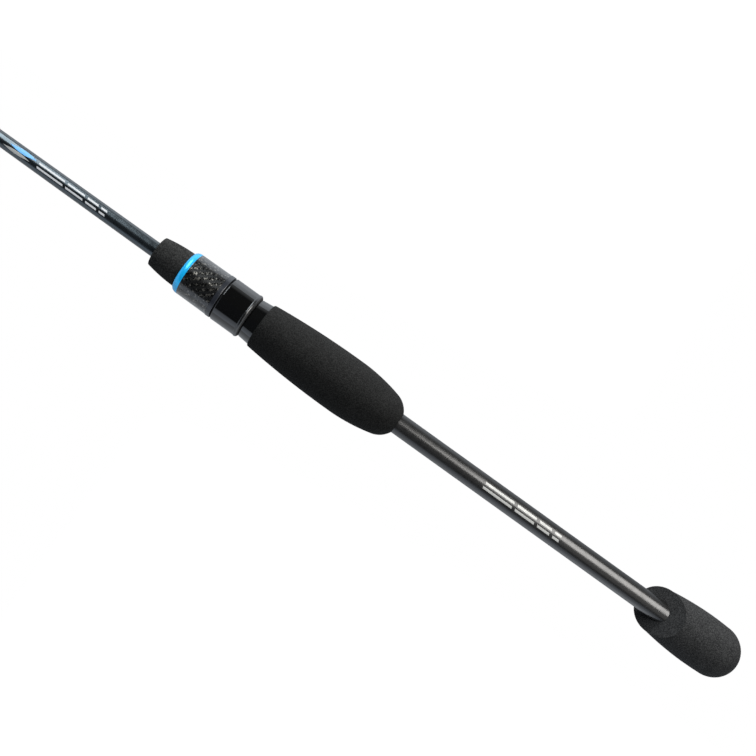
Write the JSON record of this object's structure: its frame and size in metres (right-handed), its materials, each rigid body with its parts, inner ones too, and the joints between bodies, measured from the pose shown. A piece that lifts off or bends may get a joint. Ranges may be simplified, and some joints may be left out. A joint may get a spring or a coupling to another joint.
{
  "type": "spinning rod",
  "caption": "Take-apart light spinning rod with a split foam handle, a screw-down hooded reel seat under a turning fore grip, ringed line guides and a tip guide.",
  "frame": {"origin": "centre of the butt end, on the rod's axis, where a rod holder takes the rod", "axes": "+X along the rod towards the tip, +Z out of the spine; the guides and the reel's side of the seat are on -Z"},
  "size_m": [1.983, 0.0302, 0.0491],
  "materials": {
    "foam": "matte closed-cell foam",
    "blank": "satin-gloss lacquer over carbon",
    "handle_tube": "satin black lacquer",
    "shim": "wound tape and epoxy",
    "gloss_black": "gloss",
    "slip_plastic": "matte",
    "steel": "brushed",
    "carbon_weave": "clear-coated twill",
    "blue_anodised": "satin blue anodised",
    "guide_metal": "dark polished",
    "ceramic": "polished",
    "thread": "thread under clear epoxy"
  },
  "bodies": {
    "butt_section": {"butt_blank": "blank", "handle_tube": "handle_tube", "blank_shim_rear": "shim", "blank_shim_front": "shim", "butt_grip": "foam", "rear_grip": "foam", "reel_seat_body": "gloss_black", "fixed_hood_insert": "steel", "guide_1_frame": "guide_metal", "guide_1_ring": "ceramic", "guide_1_wrap": "thread"},
    "moving_hood": {"moving_hood": "gloss_black", "moving_hood_insert": "steel", "hood_slip_ring": "slip_plastic"},
    "locking_nut": {"locking_nut": "gloss_black", "carbon_sleeve": "carbon_weave", "trim_ring": "blue_anodised", "fore_grip": "foam"},
    "tip_section": {"tip_blank": "blank", "ferrule_wrap": "thread", "guide_2_frame": "guide_metal", "guide_2_ring": "ceramic", "guide_2_wrap": "thread", "guide_3_frame": "guide_metal", "guide_3_ring": "ceramic", "guide_3_wrap": "thread", "guide_4_frame": "guide_metal", "guide_4_ring": "ceramic", "guide_4_wrap": "thread", "guide_5_frame": "guide_metal", "guide_5_ring": "ceramic", "guide_5_wrap": "thread", "guide_6_frame": "guide_metal", "guide_6_ring": "ceramic", "guide_6_wrap": "thread", "guide_7_frame": "guide_metal", "guide_7_ring": "ceramic", "guide_7_wrap": "thread", "tip_top_frame": "guide_metal", "tip_top_ring": "ceramic", "tip_top_wrap": "thread"}
  },
  "joints": [
    {"name": "nut_turn", "type": "hinge", "parent": "moving_hood", "child": "locking_nut", "pos_m": [0.3213, 0, 0], "axis": [1, 0, 0], "range_deg": [0, 2592]},
    {"name": "hood_slide", "type": "slide", "parent": "butt_section", "child": "moving_hood", "axis": [1, 0, 0], "range_m": [0, 0.01801]},
    {"name": "ferrule_pull", "type": "slide", "parent": "butt_section", "child": "tip_section", "axis": [1, 0, 0], "range_m": [0, 0.06]}
  ],
  "couplings": [
    {"joint": "hood_slide", "follows": "nut_turn", "m_per_rad": 0.00039789}
  ]
}
